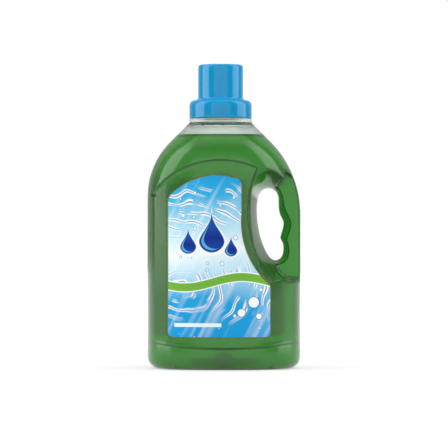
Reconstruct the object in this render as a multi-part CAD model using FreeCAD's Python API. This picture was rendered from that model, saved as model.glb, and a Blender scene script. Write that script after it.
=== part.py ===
# Laundry detergent bottle: a blow-moulded clear bottle with a moulded-in handle, filled with
# liquid detergent, closed by a drain-back pour spout and a screw-on dosing cap, with a film
# label on the front and on the back.
#
# Frame, in millimetres: +Z up, the bottle stands on z = 0, X across the width with the
# handle on +X, the front label faces -Y. The origin is the middle of the footprint.
import FreeCAD, Part
import math
import os

Vec = FreeCAD.Vector

# Bottle body
BODY_LEFT = 89.0          # from the origin to the left side
BODY_RIGHT = 89.0         # from the origin to the handle's outer side
BODY_DEPTH = 70.0         # half the depth, front to back
SECTION_POWER = 2.5       # squareness of the plan section, 2 is an ellipse
WALL = 1.0                # blown wall
BASE_ROUND = 14.0         # radius between the side and the base
SIDE_ROUND_LEFT = 90.0    # shoulder arc on the left, in front view
SIDE_ROUND_RIGHT = 120.0  # shoulder arc above the handle
DEPTH_ROUND = 90.0        # shoulder arc in side view
SECTION_POINTS = 24       # points on one plan section
SHOULDER_SECTIONS = 7     # plan sections from the handle up to the neck
BASE_SECTIONS = 6         # plan sections in the base's rounding

# Neck and thread
NECK_X = -4.0             # neck axis, a little off the middle and away from the handle
SHOULDER_TOP = 285.5      # height where the shoulder's cone meets the neck bead
CONE_RUN_ON = 1.0         # how far the shoulder's cone runs on inside the bead
BEAD_HEIGHT = 4.5
BEAD_RADIUS = 36.2
NECK_RADIUS = 31.8
NECK_WALL = 1.8
NECK_HEIGHT = 17.0        # above the bead
THREAD_PITCH = 5.0
THREAD_TURNS = 1.25
THREAD_DEPTH = 1.4
THREAD_FOOT = 2.4         # width of the ridge at the wall
THREAD_CREST = 1.0        # width of the ridge at its top
THREAD_START = 5.5        # middle of the neck's ridge where it begins, above the bead
THREAD_SIDE_GAP = 0.5     # between the cap's ridge and the neck's wall

# Front and back label panels
PANEL_RADIUS = 125.0      # plan radius of the panel
PANEL_SET_BACK = 1.5      # how far the panel lies behind the body at the middle
PANEL_BOTTOM = 25.0       # lowest point of the panel's lower edge
PANEL_BOTTOM_RADIUS = 530.0
ARCH_TOP = 240.5          # highest point of the arch over the panel
ARCH_RADIUS = 100.0
ARCH_STEP = 1.2           # how far the panel lies behind the shoulder along the arch
ARCH_FOOT = 200.0         # height where that step begins on the left
RIDGE_WIDTH = 3.0         # land left between the panel and the handle's foot
PANEL_SIDE = [(43.0, 123.0), (27.0, 167.0), (30.5, 211.0)]  # panel's edge beside the pocket
PANEL_FOOT_RUN = 31.0     # width of the curve from that edge to the land under the handle
PANEL_FOOT_BULGE = (12.5, 6.5)  # middle of that curve: from the edge, above the land
PANEL_TOP_RUN = 7.5       # width of the curve from that edge to the arch
PANEL_TOP_BULGE = (2.5, 7.5)    # middle of that curve: from the edge's upper end

# Handle opening, its outline on the parting plane seen from the front, anticlockwise from
# its right side: x and z of each point
HANDLE_OPENING = [
    (65.9, 154.0), (68.6, 163.5), (68.9, 170.5), (65.2, 178.5), (63.6, 188.0),
    (63.0, 199.0), (58.8, 206.6), (51.5, 209.3), (43.6, 205.8), (39.2, 196.5),
    (38.1, 183.0), (39.2, 168.0), (42.2, 153.0), (47.0, 139.5), (53.0, 129.2),
    (60.0, 125.4), (66.6, 129.0), (69.0, 137.5), (67.6, 146.5),
]
# Where the pocket's wall ends at the pocket depth, for the same points: how far each has
# moved outwards in x and in z
POCKET_SPREAD = {"left": 8.5, "right": 64.0, "up": 28.0, "down": 37.0}
POCKET_SET_IN = 2.0       # the spread is measured this far inside the body's front
POCKET_CURVE = 1.5        # 1 is a straight wall, more is rounder at the opening
POCKET_SLICES = [8.0, 17.0, 30.0, 50.0]  # half depths of the pocket's sections
POCKET_OVERRUN = 14.0     # how far the last section lies in front of the body
HANDLE_HALF_DEPTH = 17.0  # half the thickness of the grip, front to back
GRIP_TOP = 229.0          # the grip's flat front runs up to here
GRIP_BOTTOM = 104.0
GRIP_SHOULDER = 196.0     # where that flat front ends on the outer side
GRIP_CROWN = (6.0, 22.0)  # middle of its upper end: in from the side, up from the shoulder
GRIP_FALL = 30.0          # below the shoulder the cut runs out past the side
GRIP_LEFT = 60.0          # inside the opening
GRIP_FOOT = (76.0, 122.0)  # the foot curves from this x at the bottom to this z on the left
GRIP_FOOT_BULGE = 0.3     # middle of that curve, as a share of its width and height
GRIP_HOOK = (69.0, 221.0)  # where the pocket's ceiling ends against the grip
GRIP_CEILING_DROP = 12.0  # how much lower that ceiling is over the opening

# Base
PUSH_UP_LENGTH = 104.0
PUSH_UP_DEPTH = 76.0
PUSH_UP_HEIGHT = 12.0
PUSH_UP_DRAFT = 16.0      # how much narrower the push-up is at its top, on each side
PINCH_TAB_LENGTH = 17.0   # tab of the mould's pinch-off, in the middle of the push-up
PINCH_TAB_WIDTH = 5.0
PINCH_TAB_HEIGHT = 5.5
NOTCH_WIDTH = 7.0         # positioning notch in each end of the base
NOTCH_HEIGHT = 15.0
NOTCH_DEPTH = 8.0         # at the floor
NOTCH_TOP_DEPTH = 1.0     # at its upper end

# Liquid
FILL_LEVEL = 271.5
LIQUID_GAP = 0.05         # between the liquid and the wall

# Labels: seen from the front
LABEL_LEFT = -65.0
LABEL_UPPER_RIGHT = 21.0
LABEL_RIGHT = 54.0
LABEL_BOTTOM = 37.0
LABEL_TOP = 223.5
LABEL_SHOULDER = 203.0    # where the left side ends and the arched top begins
LABEL_STEP = 97.0         # top of the wide lower part's right side
LABEL_SWEEP = 82.0        # height of the curve from there to the narrow upper part
LABEL_SWEEP_BULGE = (0.22, 35.0)  # its middle: share of the width, height above the step
LABEL_ARCH_X = -27.0      # middle of the arched top
LABEL_ARCH_DROP = 2.0
LABEL_CORNER = 6.0        # the two lower corners
LABEL_SOFT_CORNER = 4.5   # the corners at the step, the shoulder and the top right
LABEL_THICKNESS = 0.2
LABEL_GLUE = 0.1          # between the panel and the film

# Dosing cap
CAP_TOP = 353.0
CAP_GAP = 0.6             # between the bead and the skirt
SKIRT_RADIUS = 36.2
SKIRT_WALL = 1.6
SKIRT_TOP = 312.0
SKIRT_ROUND = 5.0
CUP_RADIUS = 26.0
CUP_WALL = 1.4
CUP_TOP_ROUND = 3.5
CUP_FOOT_FILLET = 3.5     # where the cup rises from the skirt's top
CUP_INNER_ROUND = 2.0
SKIRT_INNER_ROUND = 3.0
SMALL_EDGE = 0.6          # broken edge on moulded rims
CUP_RIM = 299.5           # lower end of the measuring cup, inside the spout's trough
LID_THICKNESS = 1.6

# Seal ring between the cap and the spout's flange
SEAL_WIDTH = 3.6
SEAL_SET_IN = 0.4         # from the neck's outer side
SEAL_GAP = 0.05           # above and below the ring

# Drain-back pour spout, pressed into the neck
SPOUT_FIT_GAP = 0.05
FLANGE_THICKNESS = 1.3
SPOUT_WALL = 1.4
SPOUT_RADIUS = 20.5
SPOUT_LIP = 338.0         # top of the pouring lip, on -X
SPOUT_LIP_FLAT = 3.0      # level stretch of the lip before its rim slopes down
SPOUT_BACK = 314.0        # height of the spout's back, on the handle's side
TROUGH_FLOOR = 291.0
DRAIN_SLOT_WIDTH = 7.0

NECK_BASE = SHOULDER_TOP + BEAD_HEIGHT
NECK_TOP = NECK_BASE + NECK_HEIGHT
PANEL_FRONT = BODY_DEPTH - PANEL_SET_BACK
POCKET_DEPTH = BODY_DEPTH - POCKET_SET_IN
POCKET_HALF = POCKET_SLICES + [BODY_DEPTH + POCKET_OVERRUN]
POCKET_STATIONS = [-depth for depth in reversed(POCKET_HALF)] + [0.0] + POCKET_HALF
FAR = 200.0               # past every side of the bottle
OVERRUN = 1.0             # how far a cutting shape runs past the face it cuts
SLANT = math.sqrt(0.5)    # how far a diagonal step of 1 goes along each axis


def revolve(points):
    """A solid of revolution about the neck axis, from (radius, z) points. A point may be
    followed by an arc's middle point, given as ("arc", radius, z)."""
    edges = []
    start = points[0]
    ring = list(points[1:]) + [points[0]]
    middle = None
    for point in ring:
        if point[0] == "arc":
            middle = point[1:]
            continue
        a, b = Vec(start[0], 0, start[1]), Vec(point[0], 0, point[1])
        if middle:
            edges.append(Part.Arc(a, Vec(middle[0], 0, middle[1]), b).toShape())
        else:
            edges.append(Part.LineSegment(a, b).toShape())
        start, middle = point, None
    face = Part.Face(Part.Wire(edges))
    solid = face.revolve(Vec(0, 0, 0), Vec(0, 0, 1), 360)
    solid.translate(Vec(NECK_X, 0, 0))
    return solid


def corner(radius, z, size, quarter):
    """Three points of a rounded corner at (radius, z): its start, the arc's middle, its end.
    quarter says which corner it is: out_up goes from the side to the top, up_out back."""
    bulge = size * (1 - SLANT)
    side, top = (radius, z - size), (radius - size, z)
    middle = ("arc", radius - bulge, z - bulge)
    return [side, middle, top] if quarter == "out_up" else [top, middle, side]


def profile(reach, arc, cone, z):
    """Half width of the body at height z: upright, then an arc, then a 45 degree cone whose
    radius and height add up to cone."""
    centre = cone - reach - arc * (math.sqrt(2) - 1)
    rise = z - centre
    if rise <= 0:
        return reach
    if rise < arc / math.sqrt(2):
        return reach - arc + math.sqrt(arc * arc - rise * rise)
    return cone - z


def plan_section(z, inset, trim=0.0):
    """Closed plan section at height z of the body, inset by a wall, and trim narrower."""
    cone = BEAD_RADIUS + SHOULDER_TOP - inset * math.sqrt(2)
    left = profile(BODY_LEFT + NECK_X - inset, SIDE_ROUND_LEFT - inset, cone, z)
    right = profile(BODY_RIGHT - NECK_X - inset, SIDE_ROUND_RIGHT - inset, cone, z)
    depth = profile(BODY_DEPTH - inset, DEPTH_ROUND - inset, cone, z) - trim
    middle = NECK_X + (right - left) / 2
    half = (left + right) / 2 - trim
    neck = BEAD_RADIUS - inset
    share = min(1.0, max(0.0, (half - neck) / (BODY_DEPTH - neck)))
    power = 2 + (SECTION_POWER - 2) * share
    points = []
    for k in range(SECTION_POINTS):
        turn = 2 * math.pi * k / SECTION_POINTS
        angle = math.atan2(depth * math.sin(turn), half * math.cos(turn))
        c, s = abs(math.cos(angle)) / half, abs(math.sin(angle)) / depth
        r = (c ** power + s ** power) ** (-1 / power)
        points.append(Vec(middle + r * math.cos(angle), r * math.sin(angle), z))
    return closed_curve(points)


def closed_curve(points):
    """A smooth closed curve through points, with evenly spaced parameters, so that curves
    with as many points can be skinned together."""
    count = len(points)
    curve = Part.BSplineCurve()
    curve.interpolate(Points=points, PeriodicFlag=True,
                      Parameters=[k / count for k in range(count + 1)])
    return curve


def skin(sections, stations):
    """A solid through closed section curves, smooth in both directions. stations says how
    far along the solid each section lies."""
    columns = []
    for column in zip(*[section.getPoles() for section in sections]):
        along = Part.BSplineCurve()
        along.interpolate(Points=list(column), Parameters=stations)
        columns.append(along)
    first, along = sections[0], columns[0]
    surface = Part.BSplineSurface()
    surface.buildFromPolesMultsKnots(
        [column.getPoles() for column in columns],
        first.getMultiplicities(), along.getMultiplicities(),
        first.getKnots(), along.getKnots(), True, False, first.Degree, along.Degree)
    ends = [Part.Face(Part.Wire(section.toShape())) for section in (sections[0], sections[-1])]
    shell = Part.makeShell([surface.toShape()] + ends)
    shell.sewShape()
    return Part.makeSolid(shell)


def envelope(inset):
    """The body with no panels or handle, from its floor to the neck bead."""
    round_size = BASE_ROUND - inset
    heights = []
    trims = []
    for k in range(BASE_SECTIONS):
        angle = math.radians(90 * k / BASE_SECTIONS)
        heights.append(inset + round_size * (1 - math.cos(angle)))
        trims.append(round_size * (1 - math.sin(angle)))
    arc_start = BEAD_RADIUS + SHOULDER_TOP - (BODY_RIGHT - NECK_X)
    arc_start -= SIDE_ROUND_RIGHT * (math.sqrt(2) - 1)
    cone_top = SHOULDER_TOP + CONE_RUN_ON
    for share in (0.0, 0.05, 0.5, 0.95):
        heights.append(BASE_ROUND + (arc_start - BASE_ROUND) * share)
    for k in range(SHOULDER_SECTIONS):
        heights.append(arc_start + (cone_top - arc_start) * k / (SHOULDER_SECTIONS - 1))
    trims += [0.0] * (len(heights) - BASE_SECTIONS)
    sections = [plan_section(z, inset, trim) for z, trim in zip(heights, trims)]
    stations = [0.0]
    for before, after in zip(sections, sections[1:]):
        stations.append(stations[-1] + (after.getPole(1) - before.getPole(1)).Length)
    return skin(sections, stations)


def spread_point(x, z):
    """How far a point of the handle opening moves outwards over the pocket's depth."""
    centre_x = sum(p[0] for p in HANDLE_OPENING) / len(HANDLE_OPENING)
    centre_z = sum(p[1] for p in HANDLE_OPENING) / len(HANDLE_OPENING)
    half_x = max(abs(p[0] - centre_x) for p in HANDLE_OPENING)
    half_z = max(abs(p[1] - centre_z) for p in HANDLE_OPENING)
    across, along = (x - centre_x) / half_x, (z - centre_z) / half_z
    size = math.hypot(across, along)
    across, along = across / size, along / size
    move_x = across * POCKET_SPREAD["right" if across > 0 else "left"]
    move_z = along * POCKET_SPREAD["up" if along > 0 else "down"]
    return move_x, move_z


def pocket(grow):
    """The void of the handle opening and the hollows round it, front and back, with its
    walls moved outwards by grow."""
    sections = []
    for depth in POCKET_STATIONS:
        share = (abs(depth) / POCKET_DEPTH) ** POCKET_CURVE
        points = []
        count = len(HANDLE_OPENING)
        for k, (x, z) in enumerate(HANDLE_OPENING):
            before, after = HANDLE_OPENING[k - 1], HANDLE_OPENING[(k + 1) % count]
            run_x, run_z = after[0] - before[0], after[1] - before[1]
            run = math.hypot(run_x, run_z)
            move_x, move_z = spread_point(x, z)
            points.append(Vec(x + move_x * share + grow * run_z / run, depth,
                              z + move_z * share - grow * run_x / run))
        sections.append(closed_curve(points))
    return skin(sections, POCKET_STATIONS)


def prism(points, y_from, y_to):
    """A solid from a front-view outline: straight runs, or ("arc", x, z) middle points."""
    edges = []
    start, middle = points[0], None
    for point in list(points[1:]) + [points[0]]:
        if point[0] == "arc":
            middle = point[1:]
            continue
        a, b = Vec(start[0], y_from, start[1]), Vec(point[0], y_from, point[1])
        if middle:
            edges.append(Part.Arc(a, Vec(middle[0], y_from, middle[1]), b).toShape())
        else:
            edges.append(Part.LineSegment(a, b).toShape())
        start, middle = point, None
    return Part.Face(Part.Wire(edges)).extrude(Vec(0, y_to - y_from, 0))


def grip_cut(grow, side):
    """What is taken off in front of (side -1) or behind (side 1) the grip."""
    foot_x, foot_z = GRIP_FOOT
    hook_x, hook_z = GRIP_HOOK
    crown_in, crown_up = GRIP_CROWN
    top, bottom = GRIP_TOP + grow, GRIP_BOTTOM - grow
    left = GRIP_LEFT - grow
    bulge_x = left + GRIP_FOOT_BULGE * (foot_x - GRIP_LEFT)
    bulge_z = bottom + GRIP_FOOT_BULGE * (foot_z - GRIP_BOTTOM)
    ceiling = grow / 3
    outline = [
        (left, foot_z - grow), ("arc", bulge_x, bulge_z), (foot_x, bottom),
        (FAR, bottom), (FAR, GRIP_SHOULDER - GRIP_FALL),
        (BODY_RIGHT - NECK_X, GRIP_SHOULDER),
        ("arc", BODY_RIGHT - crown_in, GRIP_SHOULDER + crown_up), (hook_x - grow, top),
        (hook_x - grow, hook_z + ceiling), (left, hook_z - GRIP_CEILING_DROP + ceiling),
    ]
    y = side * (HANDLE_HALF_DEPTH - grow)
    return prism(outline, y, side * FAR)


def panel_outline(grow):
    """Front-view outline of the label panel: past the left side, under the arch, down
    beside the handle pocket, past the right side, and along the curved lower edge."""
    arch_centre = ARCH_TOP - ARCH_RADIUS
    lower_centre = PANEL_BOTTOM + PANEL_BOTTOM_RADIUS

    def arch_z(x):
        return arch_centre + math.sqrt((ARCH_RADIUS + grow) ** 2 - (x - NECK_X) ** 2)

    def lower_z(x):
        return lower_centre - math.sqrt((PANEL_BOTTOM_RADIUS + grow) ** 2 - x * x)

    left, right = -BODY_LEFT - 3 * OVERRUN, BODY_RIGHT + 3 * OVERRUN
    foot_z = GRIP_BOTTOM - RIDGE_WIDTH + grow
    (low_x, low_z), (waist_x, waist_z), (high_x, high_z) = PANEL_SIDE
    arch_end = high_x + PANEL_TOP_RUN
    foot_middle = (low_x + PANEL_FOOT_BULGE[0] + SLANT * grow, foot_z + PANEL_FOOT_BULGE[1])
    top_middle = (high_x + PANEL_TOP_BULGE[0] + SLANT * grow,
                  high_z + PANEL_TOP_BULGE[1] + SLANT * grow)
    return [
        (left, lower_z(left)), ("arc", 0, PANEL_BOTTOM - grow), (right, lower_z(right)),
        (right, foot_z), (low_x + PANEL_FOOT_RUN, foot_z),
        ("arc", *foot_middle), (low_x + grow, low_z),
        ("arc", waist_x + grow, waist_z), (high_x + grow, high_z),
        ("arc", *top_middle), (arch_end, arch_z(arch_end)),
        ("arc", NECK_X, ARCH_TOP + grow), (left, arch_z(left)),
    ]


def panel_cylinder(radius, side):
    """The cylinder that the panel's face lies on. side is -1 for the front."""
    axis_y = side * (PANEL_FRONT - PANEL_RADIUS)
    return Part.makeCylinder(radius, FAR + 100, Vec(0, axis_y, 0), Vec(0, 0, 1))


def panel_cut(inset, side):
    """What is taken off to leave the label panel, for the outer face or for the cavity."""
    outline = prism(panel_outline(inset), side * 10, side * FAR)
    below_arch = Part.makeBox(2 * FAR, 2 * FAR, 2 * FAR, Vec(-FAR, -FAR, ARCH_FOOT - 2 * FAR))
    under_arch = outline.cut([envelope(inset + ARCH_STEP), below_arch])
    return outline.cut(panel_cylinder(PANEL_RADIUS - inset, side)).fuse(under_arch)


def push_up(grow):
    """The hollow under the base, narrower towards its top, with the pinch-off's tab."""
    wires = []
    for z, trim in ((-OVERRUN, 0.0), (PUSH_UP_HEIGHT + grow, PUSH_UP_DRAFT)):
        half_x = PUSH_UP_LENGTH / 2 - trim + grow
        half_y = PUSH_UP_DEPTH / 2 - trim + grow
        oval = Part.Ellipse(Vec(0, 0, z), half_x, half_y)
        wires.append(Part.Wire(oval.toShape()))
    hollow = Part.makeSolid(Part.makeLoft(wires, True, True).Shells[0])
    tab_x, tab_y = PINCH_TAB_LENGTH / 2 + grow, PINCH_TAB_WIDTH / 2 + grow
    tab_top = PUSH_UP_HEIGHT + PINCH_TAB_HEIGHT + grow
    return hollow.fuse(Part.makeBox(2 * tab_x, 2 * tab_y, tab_top, Vec(-tab_x, -tab_y, 0)))


def notch(grow, side):
    """Positioning notch in an end of the base, a slanted pocket at the parting plane."""
    reach = BODY_LEFT if side < 0 else BODY_RIGHT
    half = NOTCH_WIDTH / 2 + grow
    inner, outer = side * (reach - NOTCH_DEPTH - grow), side * (reach + NOTCH_DEPTH)
    top = NOTCH_HEIGHT + grow
    return prism([(inner, -OVERRUN), (outer, -OVERRUN), (outer, top + NOTCH_DEPTH),
                  (side * (reach - NOTCH_TOP_DEPTH), top)], -half, half)


def body_form(inset):
    """The bottle below the neck: the outer form at inset 0, the cavity at inset WALL."""
    taken_off = [pocket(inset), push_up(inset)]
    for side in (-1, 1):
        taken_off += [panel_cut(inset, side), grip_cut(inset, side), notch(inset, side)]
    return envelope(inset).cut(taken_off)


def helix_ridge(root, crest, start, turns, handed_out):
    """One thread ridge round the neck axis from height start, from the root radius, a
    little inside the wall, to the crest."""
    bury = 0.3 if handed_out else -0.3
    foot, top = THREAD_FOOT / 2, THREAD_CREST / 2
    helix = Part.makeHelix(THREAD_PITCH, THREAD_PITCH * turns, root)
    points = [Vec(root - bury, 0, -foot), Vec(crest, 0, -top),
              Vec(crest, 0, top), Vec(root - bury, 0, foot)]
    trace = Part.makePolygon(points + [points[0]])
    ridge = Part.Wire(helix.Edges).makePipeShell([trace], True, True)
    ridge.translate(Vec(NECK_X, 0, start))
    return ridge


def bottle_shell():
    bead_foot = SHOULDER_TOP - 0.9 * WALL
    bead = revolve([(0, bead_foot), (BEAD_RADIUS, bead_foot),
                    (BEAD_RADIUS, NECK_BASE - SMALL_EDGE),
                    (BEAD_RADIUS - SMALL_EDGE, NECK_BASE), (0, NECK_BASE)])
    neck_foot = NECK_BASE - OVERRUN
    neck = revolve([(0, neck_foot), (NECK_RADIUS, neck_foot),
                    (NECK_RADIUS, NECK_TOP), (0, NECK_TOP)])
    thread = helix_ridge(NECK_RADIUS, NECK_RADIUS + THREAD_DEPTH, NECK_BASE + THREAD_START,
                         THREAD_TURNS, True)
    bore_radius = NECK_RADIUS - NECK_WALL
    bore_foot, bore_top = bead_foot - 2 * OVERRUN, NECK_TOP + OVERRUN
    bore = revolve([(0, bore_foot), (bore_radius, bore_foot),
                    (bore_radius, bore_top), (0, bore_top)])
    finish = bead.fuse([neck, thread]).cut(bore)
    return body_form(0.0).cut(body_form(WALL)).fuse(finish)


def liquid():
    """The detergent: the cavity up to the fill level."""
    top = Part.makeBox(2 * FAR, 2 * FAR, FAR, Vec(-FAR, -FAR, FILL_LEVEL))
    return body_form(WALL + LIQUID_GAP).cut(top)


def label(side):
    """A film label on the panel."""
    c, s = LABEL_CORNER, LABEL_SOFT_CORNER
    b = c * (1 - SLANT)
    share, rise = LABEL_SWEEP_BULGE
    sweep_x = LABEL_UPPER_RIGHT + (LABEL_RIGHT - LABEL_UPPER_RIGHT) * share
    outline = [
        (LABEL_LEFT, LABEL_BOTTOM + c), ("arc", LABEL_LEFT + b, LABEL_BOTTOM + b),
        (LABEL_LEFT + c, LABEL_BOTTOM),
        (LABEL_RIGHT - c, LABEL_BOTTOM), ("arc", LABEL_RIGHT - b, LABEL_BOTTOM + b),
        (LABEL_RIGHT, LABEL_BOTTOM + c),
        (LABEL_RIGHT, LABEL_STEP - s), ("arc", LABEL_RIGHT - s / 4, LABEL_STEP + s / 4),
        (LABEL_RIGHT - s, LABEL_STEP + s),
        ("arc", sweep_x, LABEL_STEP + rise), (LABEL_UPPER_RIGHT, LABEL_STEP + LABEL_SWEEP),
        (LABEL_UPPER_RIGHT, LABEL_TOP - 2.5 * s),
        ("arc", LABEL_UPPER_RIGHT - s / 2, LABEL_TOP - 1.2 * s),
        (LABEL_UPPER_RIGHT - 2 * s, LABEL_TOP - s / 2),
        ("arc", LABEL_ARCH_X, LABEL_TOP - LABEL_ARCH_DROP), (LABEL_LEFT + s, LABEL_SHOULDER),
        ("arc", LABEL_LEFT + s / 4, LABEL_SHOULDER - s), (LABEL_LEFT, LABEL_SHOULDER - 2 * s),
    ]
    inner = PANEL_RADIUS + LABEL_GLUE
    sheet = panel_cylinder(inner + LABEL_THICKNESS, side).cut(panel_cylinder(inner, side))
    return sheet.common(prism(outline, side * 10, side * FAR))


def dosing_cap():
    bottom = NECK_BASE + CAP_GAP
    inner = SKIRT_RADIUS - SKIRT_WALL
    under = SKIRT_TOP - LID_THICKNESS
    cup_inner = CUP_RADIUS - CUP_WALL
    foot_bulge = CUP_FOOT_FILLET * (1 - SLANT)
    points = [(SKIRT_RADIUS - SMALL_EDGE, bottom), (SKIRT_RADIUS, bottom + SMALL_EDGE)]
    points += corner(SKIRT_RADIUS, SKIRT_TOP, SKIRT_ROUND, "out_up")
    points += [(CUP_RADIUS + CUP_FOOT_FILLET, SKIRT_TOP),
               ("arc", CUP_RADIUS + foot_bulge, SKIRT_TOP + foot_bulge),
               (CUP_RADIUS, SKIRT_TOP + CUP_FOOT_FILLET)]
    points += corner(CUP_RADIUS, CAP_TOP, CUP_TOP_ROUND, "out_up")
    points += [(0, CAP_TOP), (0, CAP_TOP - LID_THICKNESS)]
    points += corner(cup_inner, CAP_TOP - LID_THICKNESS, CUP_INNER_ROUND, "up_out")
    points += [(cup_inner, CUP_RIM), (CUP_RADIUS, CUP_RIM), (CUP_RADIUS, under)]
    points += corner(inner, under, SKIRT_INNER_ROUND, "up_out")
    points += [(inner, bottom)]
    cap = revolve(points)
    start = NECK_BASE + THREAD_START - THREAD_PITCH / 2
    ridge = helix_ridge(inner, NECK_RADIUS + THREAD_SIDE_GAP, start, THREAD_TURNS, False)
    return cap.fuse(ridge)


def seal_ring():
    top = SKIRT_TOP - LID_THICKNESS - SEAL_GAP
    bottom = NECK_TOP + FLANGE_THICKNESS + SEAL_GAP
    outer = NECK_RADIUS - SEAL_SET_IN
    inner = outer - SEAL_WIDTH
    return revolve([(inner, bottom), (outer, bottom), (outer, top), (inner, top)])


def pour_spout():
    plug = NECK_RADIUS - NECK_WALL - SPOUT_FIT_GAP
    plug_inner = plug - SPOUT_WALL
    tube_inner = SPOUT_RADIUS - SPOUT_WALL
    top = NECK_TOP + FLANGE_THICKNESS
    body = revolve([
        (tube_inner, TROUGH_FLOOR - SPOUT_WALL), (plug, TROUGH_FLOOR - SPOUT_WALL),
        (plug, NECK_TOP), (NECK_RADIUS, NECK_TOP), (NECK_RADIUS, top), (plug_inner, top),
        (plug_inner, TROUGH_FLOOR), (SPOUT_RADIUS, TROUGH_FLOOR), (SPOUT_RADIUS, SPOUT_LIP),
        (tube_inner, SPOUT_LIP),
    ])
    past = SPOUT_RADIUS + OVERRUN
    over = SPOUT_LIP + OVERRUN
    slope = prism([(NECK_X - SPOUT_RADIUS + SPOUT_LIP_FLAT, over), (NECK_X + past, SPOUT_BACK),
                   (NECK_X + past, over)], -past, past)
    slot_foot = TROUGH_FLOOR - SPOUT_WALL - OVERRUN
    slot = Part.makeBox(SPOUT_WALL + 4 * OVERRUN, DRAIN_SLOT_WIDTH, over - slot_foot,
                        Vec(NECK_X + tube_inner - 2 * OVERRUN, -DRAIN_SLOT_WIDTH / 2, slot_foot))
    return body.cut(slope).cut(slot)


def save(name, shape):
    solids = shape.Solids
    print(name, "solids", len(solids), "volume cm3", round(shape.Volume / 1000, 2),
          "valid", shape.isValid())
    solid = solids[0] if len(solids) == 1 else Part.makeCompound(solids)
    solid.exportStep("parts/" + name + ".step")


os.makedirs("parts", exist_ok=True)
save("bottle", bottle_shell())
save("liquid_detergent", liquid())
save("front_label", label(-1))
save("back_label", label(1))
save("pour_spout", pour_spout())
save("cap_seal", seal_ring())
save("dosing_cap", dosing_cap())
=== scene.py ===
import math

import bmesh
import bpy
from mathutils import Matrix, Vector, kdtree


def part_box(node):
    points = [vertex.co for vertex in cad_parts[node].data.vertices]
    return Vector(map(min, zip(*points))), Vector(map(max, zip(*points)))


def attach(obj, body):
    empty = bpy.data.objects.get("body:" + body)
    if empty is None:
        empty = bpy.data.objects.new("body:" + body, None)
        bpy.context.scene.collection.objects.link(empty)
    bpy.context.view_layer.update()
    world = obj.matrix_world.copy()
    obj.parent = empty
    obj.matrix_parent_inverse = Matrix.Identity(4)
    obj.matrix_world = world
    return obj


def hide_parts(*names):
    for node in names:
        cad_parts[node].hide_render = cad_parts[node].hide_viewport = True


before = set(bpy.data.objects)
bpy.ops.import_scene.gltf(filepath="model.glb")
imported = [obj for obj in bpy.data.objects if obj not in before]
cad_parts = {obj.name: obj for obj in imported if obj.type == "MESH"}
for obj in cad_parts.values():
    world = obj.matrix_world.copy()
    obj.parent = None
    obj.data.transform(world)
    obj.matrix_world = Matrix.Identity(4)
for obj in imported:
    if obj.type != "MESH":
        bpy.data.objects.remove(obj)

mm = 0.001
weld = 0.002 * mm        # the frame's loose triangles are joined within this distance
scene = bpy.context.scene
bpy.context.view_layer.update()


# Small helpers: colour, one node, one material, one finished mesh

def linearColour(hexCode):
    channels = [int(hexCode[k:k + 2], 16) / 255 for k in (1, 3, 5)]
    return tuple(c / 12.92 if c <= 0.04045 else ((c + 0.055) / 1.055) ** 2.4 for c in channels) + (1.0,)


def addNode(tree, kind, settings=None, inputs=None):
    node = tree.nodes.new(kind)
    for name, value in (settings or {}).items():
        setattr(node, name, value)
    for key, value in (inputs or {}).items():
        if isinstance(value, bpy.types.NodeSocket):
            tree.links.new(value, node.inputs[key])
        else:
            node.inputs[key].default_value = value
    return node


def newMaterial(name):
    material = bpy.data.materials.new(name)
    material.use_nodes = True
    material.node_tree.nodes.clear()
    return material, material.node_tree


def rampStops(node, stops):
    # stops are (position, hex colour) or (position, hex colour, alpha)
    ramp = node.color_ramp
    while len(ramp.elements) < len(stops):
        ramp.elements.new(0.5)
    for element, stop in zip(ramp.elements, sorted(stops)):
        element.position = stop[0]
        colour = linearColour(stop[1])
        element.color = colour[:3] + (stop[2] if len(stop) > 2 else 1.0,)


def addObject(name, mesh, material):
    thing = bpy.data.objects.new(name, mesh)
    scene.collection.objects.link(thing)
    mesh.materials.clear()
    mesh.materials.append(material)
    for polygon in mesh.polygons:
        polygon.use_smooth = True
    return thing


def evaluatedMesh(thing):
    graph = bpy.context.evaluated_depsgraph_get()
    graph.update()
    return bpy.data.meshes.new_from_object(thing.evaluated_get(graph), depsgraph=graph)


# Camera: a long lens at the height of the handle, tipped up a little

camera = {
    "distance": 3350 * mm, "height": 164 * mm, "aim": 174 * mm,
    "width": 522 * mm,      # what the frame shows across, at the bottle's middle
    "sensor": 36.0, "near": 0.05, "far": 60.0,
}


def makeCamera():
    lens = bpy.data.cameras.new("camera")
    lens.sensor_width = camera["sensor"]
    lens.lens = camera["sensor"] * camera["distance"] / camera["width"]
    lens.clip_start, lens.clip_end = camera["near"], camera["far"]
    eye = bpy.data.objects.new("camera", lens)
    eye.location = (0.0, -camera["distance"], camera["height"])
    look = Vector((0.0, 0.0, camera["aim"])) - eye.location
    eye.rotation_euler = look.to_track_quat("-Z", "Y").to_euler()
    scene.collection.objects.link(eye)
    scene.camera = eye


# Studio: softboxes painted on the world by direction, and a white floor that keeps the shadow

studio = {
    "ambient": 0.66,        # even fill for matt surfaces
    "dark": 0.13,           # what gloss sees between the softboxes
    # azimuth from the camera side, half width, top elevation, all in degrees, and radiance
    "softboxes": [
        {"centre": 1, "half": 36, "top": 40, "glow": 0.95},
        {"centre": 87, "half": 21, "top": 62, "glow": 2.5},
        {"centre": -85, "half": 21, "top": 60, "glow": 2.8},
        {"centre": 180, "half": 50, "top": 52, "glow": 0.35},
    ],
    "overhead": {"bottom": 66, "glow": 1.0},
    "edge": 1.6,            # softness of a softbox's upright edges, in degrees
    "topEdge": 9.0,        # softness of its top edge and of the overhead light's edge
}


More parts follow.
